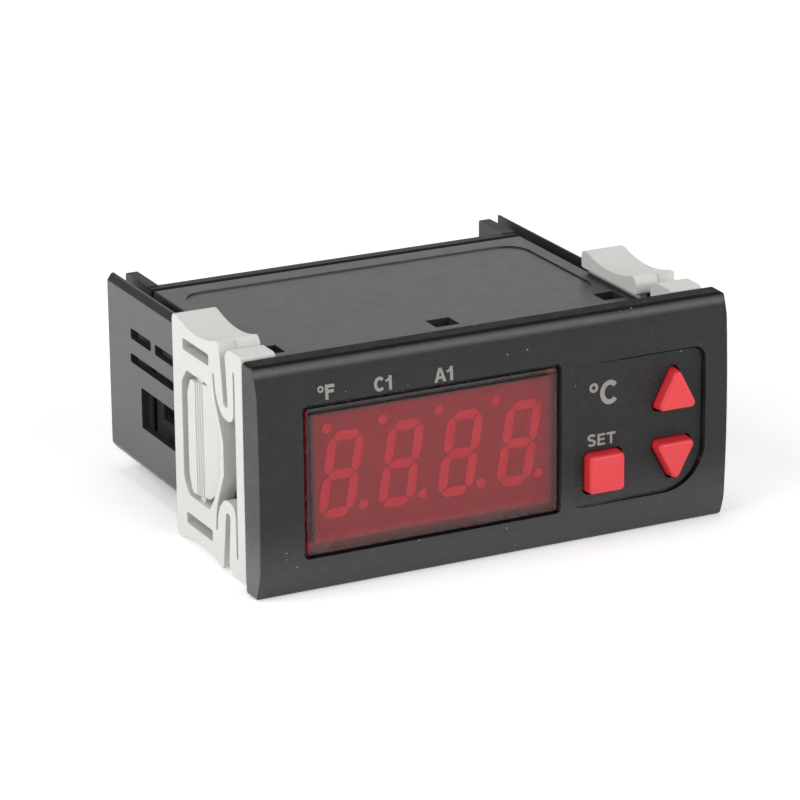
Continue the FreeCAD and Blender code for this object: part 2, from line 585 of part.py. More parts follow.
# ================================================================ mounting clips
def clip():
    """Left clip: plate, spring legs, front bar, hooks over the rails and the rocking pawl pad, one moulding."""
    xo, xi = -CLIP_X, -CLIP_IN
    # concave thumb grips on the top and bottom
    half, sag = 6.9, 1.1
    R = (half * half + sag * sag) / (2 * sag)
    grip = cyl(R, 20.0, (xo - 1, 18.6, CLIP_Z + R - sag), (1, 0, 0))
    grips = [grip, mirror_z(grip)]

    outline = [(CLIP_Y0, -CLIP_Z), (CLIP_Y1, -CLIP_Z), (CLIP_Y1, CLIP_Z), (CLIP_Y0, CLIP_Z)]
    body = prism_x(outline, [0.5, 0.9, 0.9, 0.5], xo, xi)

    def half_cuts(s):
        f = lambda pts: [(y, s * z) for y, z in pts]
        # slot between the two legs of the serpentine spring, open at the end of the clip
        leg_slot = prism_x(f([(8.75, 19.0), (10.75, 19.0), (9.2, 8.1), (7.65, 8.1)]), [0, 0, 0.74, 0.74], xo - 1, xi + 1)
        # space between bow, legs and front bar
        space = prism_x(f([
            (5.2, -0.5), (9.7, -0.5), (9.7, 2.5), (10.5, 4.3), (12.2, 7.7), (12.65, 9.5), (12.95, 12.0),
            (12.4, 12.0), (12.05, 9.6), (11.4, 8.0), (9.9, 6.45), (8.2, 6.1), (6.5, 6.35), (5.75, 7.6),
            (5.75, 14.2), (5.2, 14.2)]),
            [0, 0, 1.5, 2.0, 2.5, 3.0, 0.27, 0.27, 3.0, 2.2, 2.2, 2.5, 1.6, 1.4, 0.27, 0.27], xo - 1, xi + 1)
        slot = prism_x(f([(14.2, 12.6), (23.5, 12.6), (23.5, 14.35), (14.2, 14.35)]), 0.35, xo - 1, xi + 1)
        return [leg_slot, space, slot]

    loz = [(24.2, 7.6), (22.4, 9.65), (15.1, 9.65), (13.4, 7.6), (11.7, 4.5), (10.95, 2.7)]
    loz = loz + [(y, -z) for y, z in reversed(loz)]
    opening = prism_x(loz, [2.4, 1.1, 1.0, 3.0, 4.0, 3.0] + [3.0, 4.0, 3.0, 1.0, 1.1, 2.4], xo - 1, xi + 1)
    up, low = half_cuts(1), half_cuts(-1)
    space = up[1].fuse(low[1]).removeSplitter()
    body = cut(body, opening, space, up[0], low[0], up[2], low[2], *grips)
    body = body.removeSplitter()

    # pawl pad: lozenge block, flat at the rear, ribbed and sloping away towards the front
    pad = [(22.2, 6.3), (21.0, 8.75), (16.6, 8.75), (14.4, 6.9), (12.8, 4.1), (12.1, 2.5)]
    pad = pad + [(y, -z) for y, z in reversed(pad)]
    pad_block = prism_x(pad, [1.6, 0.7, 0.8, 2.6, 3.5, 2.6] + [2.6, 3.5, 2.6, 0.8, 0.7, 1.6], xo, xi)
    section = prism_z([
        (xo, 22.6), (xo, 19.4), (xo + 0.15, 19.4), (xo + 0.15, 18.95), (xo + 0.3, 18.95), (xo + 0.3, 18.5),
        (xo + 0.45, 18.5), (xo + 0.45, 18.05), (xo + 0.6, 18.05), (xo + 0.6, 17.6), (xo + 0.85, 16.5), (xo + 1.4, 14.8), (xi, 12.9), (xi, 12.0),
        (xi + 0.4, 12.0), (xi + 0.4, 22.6)],
        0, -12, 12)
    pad_block = pad_block.common(section)
    nose = prism_x([(12.2, -2.3), (14.6, -3.6), (14.6, 3.6), (12.2, 2.3)], 0.6, xi - 0.9, xi)
    bridge = box(xo + 0.6, xi - 0.1, 17.9, 19.5, 8.3, 10.2)

    # hooks: thick grip blocks over the rails, with a lip down into each groove
    hook = prism_x([(10.2, HOOK_Z), (CLIP_Y1, HOOK_Z), (CLIP_Y1, CLIP_Z), (10.75, CLIP_Z)], [0.3, 0.4, 0.9, 1.5], xo, -HOOK_X)
    hook = hook.cut(grip)
    lip = prism_x([(10.9, LIP_Z), (CLIP_Y1 - 0.3, LIP_Z), (CLIP_Y1 - 0.3, HOOK_Z + 0.3), (10.9, HOOK_Z + 0.3)], 0.3, -LIP_X1, -LIP_X0)
    flange_end = -32.1
    bar_flange = prism_x([(CLIP_Y0, HOOK_Z), (8.3, HOOK_Z), (8.5, CLIP_Z), (CLIP_Y0, CLIP_Z)], [0.3, 0.3, 2.2, 0.5], xo, flange_end)
    hooks = fuse(hook, lip, bar_flange)
    body = fuse(body, pad_block, nose, bridge, mirror_z(bridge), hooks, mirror_z(hooks))
    # the serpentine slot stays open through the hook zone
    k = (19.0 - HOOK_Z) / (19.0 - 8.1)
    open_slot = prism_x([(8.75, 19.0), (10.75, 19.0), (10.75 - 1.55 * k, HOOK_Z), (8.75 - 1.1 * k, HOOK_Z)], 0, xo - 1, -HOOK_X + 1)
    # the end of the front leg is rounded off towards the slot
    rr = 2.3
    y1 = 8.75 - 1.1 * (19.0 - CLIP_Z) / (19.0 - 8.1)
    corner = box(xo - 1, -HOOK_X + 1, y1 - rr, y1 + 0.5, CLIP_Z - rr, CLIP_Z + 1)
    corner = corner.cut(cyl(rr, 20.0, (xo - 2, y1 - rr, CLIP_Z - rr), (1, 0, 0)))
    body = cut(body, open_slot, mirror_z(open_slot), corner, mirror_z(corner))
    return body.removeSplitter()


left = clip()
put("left_clip", left)
right = mirror_x(left)
right.translate(V(0, -RIGHT_CLIP_AHEAD, 0))
put("right_clip", right)

print("nodes", len(nodes))
bb = Part.makeCompound(list(nodes.values())).BoundBox
print("size %.2f x %.2f x %.2f" % (bb.XLength, bb.YLength, bb.ZLength), bb)
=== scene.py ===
import math
import bmesh
import bpy
from mathutils import Matrix, Vector


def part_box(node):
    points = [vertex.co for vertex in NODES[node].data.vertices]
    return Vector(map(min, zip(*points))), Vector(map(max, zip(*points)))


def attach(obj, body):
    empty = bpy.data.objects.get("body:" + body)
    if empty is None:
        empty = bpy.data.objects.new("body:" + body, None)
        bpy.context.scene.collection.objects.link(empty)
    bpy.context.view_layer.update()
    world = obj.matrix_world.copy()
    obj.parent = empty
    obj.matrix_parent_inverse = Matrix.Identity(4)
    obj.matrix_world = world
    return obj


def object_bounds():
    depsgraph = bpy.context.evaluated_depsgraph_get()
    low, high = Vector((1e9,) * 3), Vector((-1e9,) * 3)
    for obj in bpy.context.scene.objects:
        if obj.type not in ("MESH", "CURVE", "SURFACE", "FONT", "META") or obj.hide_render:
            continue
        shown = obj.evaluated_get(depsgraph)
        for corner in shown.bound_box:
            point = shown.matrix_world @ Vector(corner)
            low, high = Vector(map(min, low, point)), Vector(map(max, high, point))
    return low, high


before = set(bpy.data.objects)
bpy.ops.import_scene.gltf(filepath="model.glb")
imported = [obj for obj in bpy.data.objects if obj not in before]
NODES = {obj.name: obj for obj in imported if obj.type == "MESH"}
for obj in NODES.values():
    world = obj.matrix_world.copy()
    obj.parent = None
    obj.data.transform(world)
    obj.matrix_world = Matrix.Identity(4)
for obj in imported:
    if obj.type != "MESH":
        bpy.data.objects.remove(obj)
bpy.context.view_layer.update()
MM = 0.001


# ------------------------------------------------------------------ materials
class Graph:
    """Small helper for building a node material."""

    def __init__(self, name):
        self.mat = bpy.data.materials.new(name)
        self.mat.use_nodes = True
        self.nt = self.mat.node_tree
        self.nt.nodes.clear()
        self.out = self.add("ShaderNodeOutputMaterial")
        self.coord = self.add("ShaderNodeTexCoord").outputs["Object"]

    def add(self, kind, **props):
        n = self.nt.nodes.new(kind)
        for k, v in props.items():
            setattr(n, k, v)
        return n

    def link(self, a, b):
        self.nt.links.new(a, b)

    def noise(self, scale, detail=4.0, rough=0.55, coord=None):
        n = self.add("ShaderNodeTexNoise")
        n.inputs["Scale"].default_value = scale
        n.inputs["Detail"].default_value = detail
        n.inputs["Roughness"].default_value = rough
        self.link(coord or self.coord, n.inputs["Vector"])
        return n.outputs["Fac"]

    def remap(self, fac, a, b, lo, hi, smooth=False):
        n = self.add("ShaderNodeMapRange")
        n.interpolation_type = "SMOOTHSTEP" if smooth else "LINEAR"
        n.clamp = True
        for k, v in (("From Min", a), ("From Max", b), ("To Min", lo), ("To Max", hi)):
            n.inputs[k].default_value = v
        self.link(fac, n.inputs["Value"])
        return n.outputs["Result"]

    def math(self, op, a, b=None):
        n = self.add("ShaderNodeMath", operation=op)
        for i, v in enumerate((a, b)):
            if v is None:
                continue
            if isinstance(v, (int, float)):
                n.inputs[i].default_value = v
            else:
                self.link(v, n.inputs[i])
        return n.outputs[0]

    def mix(self, fac, a, b):
        n = self.add("ShaderNodeMix", data_type="RGBA")
        if isinstance(fac, (int, float)):
            n.inputs[0].default_value = fac
        else:
            self.link(fac, n.inputs[0])
        for i, v in ((6, a), (7, b)):
            if isinstance(v, tuple):
                n.inputs[i].default_value = (*v, 1.0)
            else:
                self.link(v, n.inputs[i])
        return n.outputs[2]

    def axis(self, i):
        n = self.add("ShaderNodeSeparateXYZ")
        self.link(self.coord, n.inputs[0])
        return n.outputs[i]


def shade(c, k):
    return tuple(max(0.0, min(1.0, v * k)) for v in c)


def plastic(name, colour, rough=0.42, grain=4200.0, bump=0.12, vary=0.18, spec=0.5, round_edge=0.16, dust=0.0, rough_vary=0.10, spark=0.0, depth=0.06, top_spec=None, low_spec=None, dull_inward=False, crest_spec=None, ends_gain=0.0,
            dull_band=(0.5, 0.8), crest_band=(0.25, 0.42, 0.48, 0.70)):
    """Moulded plastic: mottled colour, uneven gloss, moulded grain and softened edges."""
    g = Graph(name)
    p = g.add("ShaderNodeBsdfPrincipled")
    broad = g.noise(95.0, 3.0)
    fine = g.noise(grain, 2.0, 0.6)
    tone = g.mix(g.remap(broad, 0.3, 0.7, 0.0, 1.0), shade(colour, 1 - vary), shade(colour, 1 + vary))
    tone = g.mix(g.remap(fine, 0.35, 0.7, 0.0, 0.35), tone, shade(colour, 1 + 2.2 * vary))
    if spark > 0:
        # eroded-mould texture: small bright grains
        tone = g.mix(g.remap(g.noise(grain * 0.62, 1.0, 0.5), 0.54, 0.72, 0.0, spark), tone, shade(colour, 4.5))
    if dust > 0:
        v = g.add("ShaderNodeTexVoronoi", feature="F1")
        v.inputs["Scale"].default_value = 620.0
        g.link(g.coord, v.inputs["Vector"])
        dot = g.remap(v.outputs["Distance"], 0.045, 0.085, 1.0, 0.0)
        sep = g.add("ShaderNodeSeparateColor")
        g.link(v.outputs["Color"], sep.inputs[0])
        some = g.math("GREATER_THAN", sep.outputs[0], 1.0 - dust)
        tone = g.mix(g.math("MULTIPLY", g.math("MULTIPLY", dot, some), 0.75), tone, (0.42, 0.42, 0.42))
    lit = spec
    if low_spec is not None:
        # gloss differs over the height
        lit = g.remap(g.axis(2), -15.5 * MM, -5.0 * MM, low_spec, spec, True)
    g.link(tone, p.inputs["Base Color"])
    r = g.remap(g.noise(420.0, 5.0, 0.6), 0.3, 0.72, max(0.05, rough - rough_vary), min(1.0, rough + rough_vary))
    g.link(r, p.inputs["Roughness"])
    p.inputs["Specular IOR Level"].default_value = spec
    if top_spec is not None:
        # upward faces lie duller
        up = g.add("ShaderNodeSeparateXYZ")
        g.link(g.add("ShaderNodeTexCoord").outputs["Normal"], up.inputs[0])
        duller = g.remap(up.outputs[2], *dull_band, 1.0, top_spec / spec, True)
        if crest_spec is not None:
            # shoulders and end faces differ in gloss from the flat faces
            crest = g.math("MULTIPLY", g.remap(up.outputs[2], *crest_band[:2], 0, 1, True), g.remap(up.outputs[2], *crest_band[2:], 1, 0, True))
            ends = g.remap(g.math("ABSOLUTE", up.outputs[0]), 0.6, 0.9, 0, ends_gain, True)
            duller = g.math("ADD", duller, g.math("ADD", ends, g.math("MULTIPLY", crest, crest_spec / spec - 1.0)))
        if dull_inward:
            # faces that look inward stay dull
            inward = g.math("MULTIPLY", up.outputs[0], g.axis(0))
            duller = g.math("MULTIPLY", duller, g.remap(inward, -0.020, -0.008, 0.25, 1.0, True))
        g.link(g.math("MULTIPLY", duller, lit), p.inputs["Specular IOR Level"])
    b = g.add("ShaderNodeBump")
    b.inputs["Strength"].default_value = bump
    b.inputs["Distance"].default_value = depth * MM
    g.link(fine, b.inputs["Height"])
    if round_edge > 0:
        e = g.add("ShaderNodeBevel", samples=6)
        e.inputs["Radius"].default_value = round_edge * MM
        g.link(e.outputs["Normal"], b.inputs["Normal"])
    g.link(b.outputs["Normal"], p.inputs["Normal"])
    g.link(p.outputs[0], g.out.inputs["Surface"])
    return g.mat


def metal(name, colour, rough=0.32, grain=900.0):
    g = Graph(name)
    p = g.add("ShaderNodeBsdfPrincipled")
    p.inputs["Metallic"].default_value = 1.0
    n = g.noise(grain, 5.0, 0.6)
    g.link(g.mix(g.remap(n, 0.3, 0.7, 0, 1), shade(colour, 0.8), shade(colour, 1.12)), p.inputs["Base Color"])
    g.link(g.remap(g.noise(grain * 2.2, 4.0), 0.3, 0.7, rough - 0.08, rough + 0.14), p.inputs["Roughness"])
    b = g.add("ShaderNodeBump")
    b.inputs["Strength"].default_value = 0.15
    b.inputs["Distance"].default_value = 0.00004
    g.link(n, b.inputs["Height"])
    g.link(b.outputs["Normal"], p.inputs["Normal"])
    g.link(p.outputs[0], g.out.inputs["Surface"])
    return g.mat


BLACK = (0.0055, 0.0057, 0.0063)
CASE = (0.024, 0.0242, 0.0242)
CLIP = (0.585, 0.588, 0.560)
RED = (0.61, 0.029, 0.036)

M_BEZEL = plastic("bezel_black", BLACK, rough=0.50, grain=4200.0, bump=0.85, vary=0.10, dust=0.20, round_edge=0.06, rough_vary=0.05, spec=0.40, spark=0.32, depth=0.30, top_spec=0.08, low_spec=0.84, crest_spec=1.35, ends_gain=1.5,
                  dull_band=(0.405, 0.455), crest_band=(0.322, 0.378, 0.395, 0.440))
M_CASE = plastic("case_grey", CASE, rough=0.32, grain=3600.0, bump=0.10, vary=0.04, round_edge=0.10, dust=0.05, rough_vary=0.03, spec=0.70, top_spec=0.365, low_spec=0.46, dull_inward=True, crest_spec=0.16, ends_gain=0.10)
M_COVER = plastic("cover_grey", shade(CASE, 0.6), rough=0.42, grain=3600.0, bump=0.10, vary=0.04, round_edge=0.10, dust=0.05, rough_vary=0.03, spec=0.4, top_spec=0.12)
M_CLIP = plastic("clip_grey", CLIP, rough=0.46, grain=2600.0, bump=0.06, vary=0.025, round_edge=0.22, spec=0.45)
M_KEY = plastic("key_red", RED, rough=0.40, grain=2400.0, bump=0.05, vary=0.05, round_edge=0.0)
M_DARK = plastic("black_plastic", (0.02, 0.02, 0.021), rough=0.5)
M_TERM = plastic("terminal_black", (0.03, 0.031, 0.032), rough=0.42, vary=0.1)
M_BOARD = plastic("circuit_board", (0.012, 0.10, 0.045), rough=0.35, grain=1500.0)
M_COIL = plastic("coil_tape", (0.55, 0.36, 0.04), rough=0.5, grain=1800.0)
M_RELAY = plastic("relay_blue", (0.02, 0.08, 0.30), rough=0.35)
M_CAP = plastic("cap_sleeve", (0.012, 0.018, 0.05), rough=0.3)
M_ABS = plastic("absorber_blue", (0.02, 0.14, 0.34), rough=0.3)
M_CORE = metal("core_steel", (0.30, 0.30, 0.31), rough=0.5)
M_SCREW = metal("screw_steel", (0.62, 0.61, 0.58), rough=0.28)
M_CLAMP = metal("clamp_brass", (0.72, 0.56, 0.28), rough=0.34)


def display_face_material():
    """Dull red face that fades to dark grey towards its border, as seen through the frosted lens."""
    g = Graph("display_face")
    p = g.add("ShaderNodeBsdfPrincipled")
    lo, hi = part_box("led_display")
    fx = g.math("MULTIPLY", g.remap(g.axis(0), lo.x, lo.x + 0.8 * MM, 0, 1, True), g.remap(g.axis(0), hi.x - 1.25 * MM, hi.x, 1, 0, True))
    fz = g.math("MULTIPLY", g.remap(g.axis(2), lo.z, lo.z + 0.6 * MM, 0, 1, True), g.remap(g.axis(2), hi.z - 0.75 * MM, hi.z, 1, 0, True))
    field = g.math("MULTIPLY", fx, fz)
    red = g.mix(g.remap(g.noise(160.0, 3.0), 0.3, 0.7, 0, 1), (0.405, 0.012, 0.021), (0.435, 0.015, 0.024))
    g.link(g.mix(field, (0.050, 0.042, 0.042), red), p.inputs["Base Color"])
    g.link(g.remap(g.noise(500.0), 0.3, 0.7, 0.55, 0.75), p.inputs["Roughness"])
    p.inputs["Specular IOR Level"].default_value = 0.2
    b = g.add("ShaderNodeBump")
    b.inputs["Strength"].default_value = 0.04
    b.inputs["Distance"].default_value = 0.00004
    g.link(g.noise(2600.0), b.inputs["Height"])
    g.link(b.outputs["Normal"], p.inputs["Normal"])
    g.link(p.outputs[0], g.out.inputs["Surface"])
    return g.mat


def lens_material():
    """Smoke-red lens: mostly see-through, with a soft matt veil, a faint gloss, denser borders and rims, and painted
    light: a highlight on the upper rim, a dark shade line below it and lit and shaded flanks.
    """
    g = Graph("red_lens")
    p = g.add("ShaderNodeBsdfPrincipled")
    sep = g.add("ShaderNodeSeparateXYZ")
    g.link(g.add("ShaderNodeTexCoord").outputs["Normal"], sep.inputs[0])
    x, z = g.axis(0), g.axis(2)
    flat = g.math("ABSOLUTE", sep.outputs[1])
    n = g.noise(240.0, 4.0)
    tone = g.mix(g.remap(n, 0.3, 0.7, 0, 1), (0.076, 0.070, 0.070), (0.088, 0.081, 0.081))
    # frosted border at the bottom and the right, red running out to grey: scattered light on top of what shows through
    border = g.math("MAXIMUM", g.remap(z, -10.1 * MM, -9.4 * MM, 1, 0, True), g.remap(x, 7.9 * MM, 8.7 * MM, 0, 1, True))
    glow = g.math("MINIMUM", g.remap(z, -11.1 * MM, -9.2 * MM, 0, 1), g.remap(x, 7.8 * MM, 9.4 * MM, 1, 0))
    haze = g.mix(border, (0.0, 0.0, 0.0), g.mix(glow, (0.024, 0.010, 0.010), (0.112, 0.010, 0.012)))
    # painted shade: a near-black line under the bright upper rim, where the top wall of the window shades the lens
    painted_shade_line = g.math("MULTIPLY", g.remap(z, 9.3 * MM, 9.55 * MM, 0, 1, True), g.remap(z, 9.75 * MM, 9.95 * MM, 1, 0, True))
    tone = g.mix(painted_shade_line, tone, (0.006, 0.002, 0.002))
    # painted highlight: the upward-facing upper rim is painted light grey, as if catching the light
    crest = g.math("MULTIPLY", g.remap(sep.outputs[2], 0.2, 0.7, 0, 1), g.math("GREATER_THAN", z, 9.9 * MM))
    tone = g.mix(crest, tone, (0.17, 0.14, 0.14))
    # painted light and shade: the left flank is painted bright red as if lit, the other flanks are painted dark as if
    # shaded
    painted_lit_flank = g.math("MULTIPLY", g.remap(sep.outputs[0], -0.95, -0.25, 1.0, 0.0), g.math("LESS_THAN", x, -0.02))
    tone = g.mix(painted_lit_flank, tone, (0.55, 0.030, 0.046))
    painted_dark_flanks = g.remap(flat, 0.1, 0.5, 1.0, 0.0)
    g.link(g.mix(g.math("MULTIPLY", painted_dark_flanks, g.math("SUBTRACT", 1.0, painted_lit_flank)), tone, (0.012, 0.008, 0.008)), p.inputs["Base Color"])
    # the painted shade line also hides what shows through and dulls the gloss there
    shade_line_cover = g.math("MULTIPLY", painted_shade_line, 0.85)
    g.link(g.remap(shade_line_cover, 0.0, 0.8, 0.5, 0.12), p.inputs["Specular IOR Level"])
    g.link(g.remap(g.noise(700.0, 4.0), 0.3, 0.7, 0.20, 0.34), p.inputs["Roughness"])
    b = g.add("ShaderNodeBump")
    b.inputs["Strength"].default_value = 0.03
    b.inputs["Distance"].default_value = 0.00005
    g.link(g.noise(3000.0, 2.0), b.inputs["Height"])
    g.link(b.outputs["Normal"], p.inputs["Normal"])
    t = g.add("ShaderNodeBsdfTransparent")
    t.inputs[0].default_value = (1.0, 0.96, 0.96, 1.0)
    m = g.add("ShaderNodeMixShader")
    g.link(g.math("MAXIMUM", g.remap(flat, 0.45, 0.95, 0.85, 0.22), shade_line_cover), m.inputs[0])
    g.link(t.outputs[0], m.inputs[1])
    g.link(p.outputs[0], m.inputs[2])
    h = g.add("ShaderNodeBsdfDiffuse")
    g.link(haze, h.inputs["Color"])
    both = g.add("ShaderNodeAddShader")
    g.link(m.outputs[0], both.inputs[0])
    g.link(h.outputs[0], both.inputs[1])
    g.link(both.outputs[0], g.out.inputs["Surface"])
    return g.mat


M_FACE = display_face_material()
M_LENS = lens_material()
M_SEG = plastic("segment_red", (0.79, 0.020, 0.046), rough=0.6, grain=2600.0, bump=0.04, vary=0.06, spec=0.2, round_edge=0.0)
M_PRINT = plastic("legend_grey", (0.225, 0.215, 0.190), rough=0.55, grain=3800.0, bump=0.1, vary=0.10, spec=0.3, round_edge=0.0)

LOOK = {
    "front_bezel": M_BEZEL, "display_window": M_LENS, "set_button": M_KEY, "up_button": M_KEY, "down_button": M_KEY,
    "set_plunger": M_DARK, "up_plunger": M_DARK, "down_plunger": M_DARK, "tact_switches": M_DARK,
    "led_display": M_FACE, "digit_segments": M_SEG, "display_board": M_BOARD, "main_board": M_BOARD, "board_header": M_DARK,
    "transformer_core": M_CORE, "transformer_coil": M_COIL, "output_relay": M_RELAY, "capacitors": M_CAP, "sounder": M_DARK,
    "control_chip": M_DARK, "surge_absorber": M_ABS, "case_body": M_CASE, "rear_cover": M_COVER, "terminal_block": M_TERM,
    "terminal_screws": M_SCREW, "terminal_clamps": M_CLAMP, "left_clip": M_CLIP, "right_clip": M_CLIP,
}
for name, mat in LOOK.items():
    obj = NODES[name]
    obj.data.materials.clear()
    obj.data.materials.append(mat)


# ------------------------------------------------------------------ printed legends
CROWN_R, BEZEL_DEPTH, EDGE_DEPTH, SHOULDER_Z, HALF_H = 220.0, 4.6, 2.75, 12.0, 17.5


def crown_y(z):
    """Front surface of the bezel, in mm: long crown, then the rounder shoulder."""
    cy = CROWN_R - BEZEL_DEPTH
    if abs(z) <= SHOULDER_Z:
        return cy - math.sqrt(CROWN_R * CROWN_R - z * z)
    ys = cy - math.sqrt(CROWN_R ** 2 - SHOULDER_Z ** 2)
    ny, nz = (cy - ys) / CROWN_R, -SHOULDER_Z / CROWN_R
    dy, dz = -EDGE_DEPTH - ys, HALF_H - SHOULDER_Z
    r = (dz * dz + dy * dy) / (2 * (ny * dy + nz * dz))
    return ys + r * ny - math.sqrt(r * r - (abs(z) - SHOULDER_Z - r * nz) ** 2)


def floor_y(x):
    """Floor of the key field, in mm."""
    return -4.10 + 0.35 * (x - 12.5) / 22.0


def arc(cx, cz, rx, rz, a0, a1, n):
    return [(cx + rx * math.cos(math.radians(a0 + (a1 - a0) * i / n)), cz + rz * math.sin(math.radians(a0 + (a1 - a0) * i / n))) for i in range(n + 1)]


def stroke(points, w):
    """Outline quads of a stroke of width w along points."""
    quads = []
    left, right = [], []
    for i, p in enumerate(points):
        a = points[max(i - 1, 0)]
        b = points[min(i + 1, len(points) - 1)]
        dx, dz = b[0] - a[0], b[1] - a[1]
        m = math.hypot(dx, dz) or 1.0
        nx, nz = -dz / m * w / 2, dx / m * w / 2
        left.append((p[0] + nx, p[1] + nz))
        right.append((p[0] - nx, p[1] - nz))
    for i in range(len(points) - 1):
        quads.append((left[i], left[i + 1], right[i + 1], right[i]))
    return quads


def ring_quads(cx, cz, r0, r1, n=28):
    a = arc(cx, cz, r0, r0, 0, 360, n)
    b = arc(cx, cz, r1, r1, 0, 360, n)
    return [(b[i], b[i + 1], a[i + 1], a[i]) for i in range(n)]


def letter(ch, w, h, t):
    """Bold sans letter in a w by h box with stem t, as quads in mm from its lower left corner."""
    if ch == "1":
        return [((w - t, 0), (w - t, h), (w, h), (w, 0))] + stroke([(w - t * 0.4, h - t * 0.35), (w - t * 1.2, h - t * 1.25), (w - t * 2.1, h - t * 1.55)], t * 0.72)
    if ch == "F":
        return [((0, 0), (0, h), (t, h), (t, 0)), ((t, h - t), (t, h), (w, h), (w, h - t)), ((t, h * 0.44), (t, h * 0.44 + t), (w * 0.9, h * 0.44 + t), (w * 0.9, h * 0.44))]
    if ch == "E":
        return [((0, 0), (0, h), (t, h), (t, 0)), ((t, h - t * 0.9), (t, h), (w, h), (w, h - t * 0.9)),
                ((t, h * 0.5 - t * 0.4), (t, h * 0.5 + t * 0.45), (w * 0.92, h * 0.5 + t * 0.45), (w * 0.92, h * 0.5 - t * 0.4)), ((t, 0), (t, t * 0.9), (w, t * 0.9), (w, 0))]
    if ch == "T":
        return [((0, h - t * 0.95), (0, h), (w, h), (w, h - t * 0.95)), ((w / 2 - t / 2, 0), (w / 2 - t / 2, h - t * 0.95), (w / 2 + t / 2, h - t * 0.95), (w / 2 + t / 2, 0))]
    if ch == "A":
        return [((0, 0), (w / 2 - t * 0.55, h), (w / 2 + t * 0.3, h), (t * 1.05, 0)), ((w - t * 1.05, 0), (w / 2 - t * 0.3, h), (w / 2 + t * 0.55, h), (w, 0)),
                ((w * 0.24, h * 0.22), (w * 0.33, h * 0.22 + t * 0.85), (w * 0.67, h * 0.22 + t * 0.85), (w * 0.76, h * 0.22))]
    if ch == "C":
        return stroke(arc(w / 2 + 0.02 * w, h / 2, w / 2 - t / 2, h / 2 - t / 2, 42, 318, 26), t)
    if ch == "S":
        r = h / 4 - t * 0.11
        top = arc(w / 2, h - t / 2 - (h / 2 - t) / 2, w / 2 - t / 2, (h / 2 - t / 2) / 2, 22, 270, 18)
        low = arc(w / 2, t / 2 + (h / 2 - t / 2) / 2, w / 2 - t / 2, (h / 2 - t / 2) / 2, 90, -158, 18)
        return stroke(top + low[1:], t)
    return []


def tile(bm, quad, surface, lift):
    """One piece of printed film: a fine grid that follows the surface, closed at its back and edges."""
    a, b, c, d = quad
    nu = max(1, math.ceil(max(math.dist(a, b), math.dist(d, c)) / 0.3))
    nv = max(1, math.ceil(max(math.dist(a, d), math.dist(b, c)) / 0.3))
    front, behind = [], []
    for i in range(nu + 1):
        u = i / nu
        front.append([])
        behind.append([])
        for j in range(nv + 1):
            v = j / nv
            x, z = ((1 - v) * ((1 - u) * a[k] + u * b[k]) + v * ((1 - u) * d[k] + u * c[k]) for k in (0, 1))
            y = surface(x, z)
            front[i].append(bm.verts.new((x * MM, (y - lift) * MM, z * MM)))
            behind[i].append(bm.verts.new((x * MM, (y + 0.02) * MM, z * MM)))
    for i in range(nu):
        for j in range(nv):
            bm.faces.new((front[i][j], front[i + 1][j], front[i + 1][j + 1], front[i][j + 1]))
            bm.faces.new((behind[i][j + 1], behind[i + 1][j + 1], behind[i + 1][j], behind[i][j]))
    rim = [(i, 0) for i in range(nu)] + [(nu, j) for j in range(nv)] + [(i, nv) for i in range(nu, 0, -1)] + [(0, j) for j in range(nv, 0, -1)]
    for n, (i, j) in enumerate(rim):
        k, m = rim[(n + 1) % len(rim)]
        bm.faces.new((front[k][m], front[i][j], behind[i][j], behind[k][m]))


def legend(name, items, surface, lift=0.038):
    """Thin printed film made of tiles that follow the surface."""
    bm = bmesh.new()
    for quads, ox, oz in items:
        for q in quads:
            tile(bm, [(ox + x, oz + z) for x, z in q], surface, lift)
    bmesh.ops.recalc_face_normals(bm, faces=bm.faces)
    me = bpy.data.meshes.new(name)
    bm.to_mesh(me)
    bm.free()
    me.materials.append(M_PRINT)
    ob = bpy.data.objects.new(name, me)
    bpy.context.scene.collection.objects.link(ob)
    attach(ob, "controller")
    return ob


on_crown = lambda x, z: crown_y(z)
on_floor = lambda x, z: floor_y(x)
legend("legend_f", [(ring_quads(0, 0, 0.22, 0.50), -28.32, 13.12), (letter("F", 1.5, 2.15, 0.47), -27.62, 11.5)], on_crown)
legend("legend_c1", [(letter("C", 1.78, 2.15, 0.47), -20.0, 11.4), (letter("1", 0.95, 2.1, 0.47), -18.1, 11.42)], on_crown)
legend("legend_a1", [(letter("A", 1.9, 2.1, 0.47), -10.4, 11.3), (letter("1", 0.95, 2.1, 0.47), -8.35, 11.3)], on_crown)
legend("legend_degree", [(ring_quads(0, 0, 0.32, 0.74), 15.79, 6.34), (letter("C", 3.25, 3.75, 0.76), 16.8, 3.42)], on_floor)
legend("legend_set", [(letter("S", 1.45, 1.85, 0.38), 14.77, -2.72), (letter("E", 1.3, 1.8, 0.38), 16.47, -2.7), (letter("T", 1.5, 1.8, 0.38), 18.02, -2.7)], on_floor)


# ------------------------------------------------------------------ stage, light and camera
lo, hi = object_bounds()
floor_z = min(lo[2], -0.0175)


def sheet(name, size, z):
    bm = bmesh.new()
    bmesh.ops.create_grid(bm, x_segments=24, y_segments=24, size=size)
    for v in bm.verts:
        v.co.z = z
    me = bpy.data.meshes.new(name)
    bm.to_mesh(me)
    bm.free()
    ob = bpy.data.objects.new(name, me)
    bpy.context.scene.collection.objects.link(ob)
    return ob


